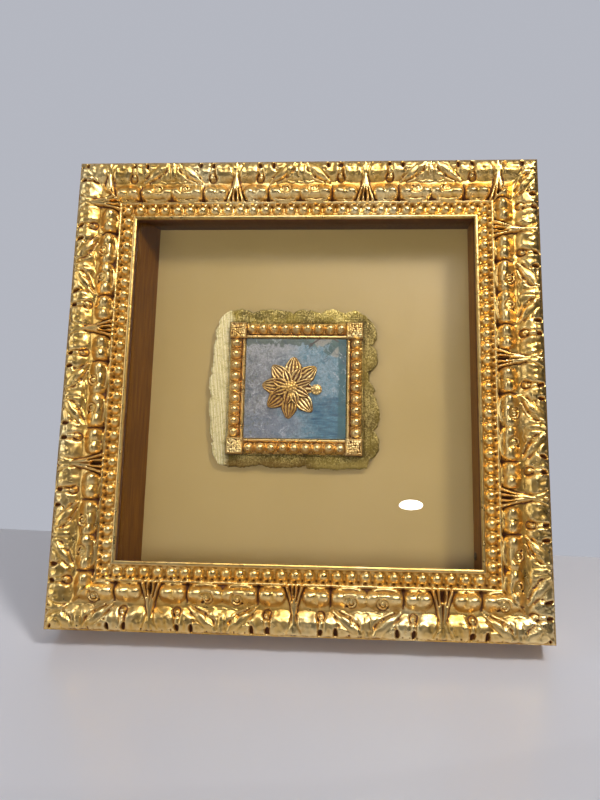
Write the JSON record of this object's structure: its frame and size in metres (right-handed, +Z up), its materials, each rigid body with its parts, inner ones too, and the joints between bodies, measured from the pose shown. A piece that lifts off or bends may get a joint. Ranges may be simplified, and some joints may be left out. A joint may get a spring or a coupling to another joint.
{
  "type": "floating frame",
  "caption": "Square carved and gilded shadow-box frame, glazed, holding a small bead-framed silk fragment with a gold flower on brocade away from its backing.",
  "frame": {"origin": "centre of the flat underside that the frame stands on", "axes": "+X to the viewer's right, +Y from the glass to the back, +Z up"},
  "size_m": [0.4064, 0.0567, 0.4064],
  "materials": {
    "gilding": "water gilding, burnished, over red bole on carved wood",
    "clear_glass": "clear float glass",
    "stained_wood": "brown stain, low sheen",
    "backing_cloth": "board covered in gold-beige ribbed cloth",
    "foam_board": "paper-faced board",
    "hardboard": "smooth brown hardboard",
    "brocade": "metal-thread lace",
    "silk": "painted silk, blue and grey",
    "gilt_metal": "gilt beadwork and filigree",
    "zinc_steel": "zinc plated",
    "brass_plate": "brass plated",
    "dark_screw": "blackened",
    "felt": "brown felt"
  },
  "bodies": {
    "frame": {"back_board": "hardboard", "backing_panel": "backing_cloth", "brocade_border": "brocade", "bumper_pads": "felt", "corner_v_nails": "zinc_steel", "filler_board": "foam_board", "float_riser": "foam_board", "flower_inner_petals": "gilt_metal", "flower_knot": "gilt_metal", "flower_outer_petals": "gilt_metal", "fragment_board": "foam_board", "glazing": "clear_glass", "hanger_screws": "zinc_steel", "hanger_strap_left": "zinc_steel", "hanger_strap_right": "zinc_steel", "mini_corner_bottom_left": "gilt_metal", "mini_corner_bottom_right": "gilt_metal", "mini_corner_top_left": "gilt_metal", "mini_corner_top_right": "gilt_metal", "mini_rail_bottom": "gilt_metal", "mini_rail_left": "gilt_metal", "mini_rail_right": "gilt_metal", "mini_rail_top": "gilt_metal", "rail_bottom": "gilding", "rail_left": "gilding", "rail_right": "gilding", "rail_top": "gilding", "silk_fragment": "silk", "spacer_bottom": "stained_wood", "spacer_left": "stained_wood", "spacer_right": "stained_wood", "spacer_screw": "dark_screw", "spacer_top": "stained_wood", "turn_button_screws": "zinc_steel"},
    "hanger_ring_left": {"hanger_ring_left": "zinc_steel"},
    "hanger_ring_right": {"hanger_ring_right": "zinc_steel"},
    "turn_button_bottom": {"turn_button_bottom": "brass_plate"},
    "turn_button_left": {"turn_button_left": "brass_plate"},
    "turn_button_right": {"turn_button_right": "brass_plate"},
    "turn_button_top": {"turn_button_top": "brass_plate"}
  },
  "joints": [
    {"name": "turn_button_bottom_turn", "type": "hinge", "parent": "frame", "child": "turn_button_bottom", "pos_m": [0, 0.0227, 0.0402], "axis": [0, 1, 0], "continuous": true},
    {"name": "turn_button_right_turn", "type": "hinge", "parent": "frame", "child": "turn_button_right", "pos_m": [0.163, 0.0227, 0.2032], "axis": [0, 1, 0], "continuous": true},
    {"name": "turn_button_top_turn", "type": "hinge", "parent": "frame", "child": "turn_button_top", "pos_m": [0, 0.0227, 0.3662], "axis": [0, 1, 0], "continuous": true},
    {"name": "turn_button_left_turn", "type": "hinge", "parent": "frame", "child": "turn_button_left", "pos_m": [-0.163, 0.0227, 0.2032], "axis": [0, 1, 0], "continuous": true},
    {"name": "hanger_ring_left_swing", "type": "hinge", "parent": "frame", "child": "hanger_ring_left", "pos_m": [-0.1786, 0.0236, 0.284], "axis": [1, 0, 0], "range_deg": [0, 170]},
    {"name": "hanger_ring_right_swing", "type": "hinge", "parent": "frame", "child": "hanger_ring_right", "pos_m": [0.1786, 0.0236, 0.284], "axis": [1, 0, 0], "range_deg": [0, 170]}
  ]
}
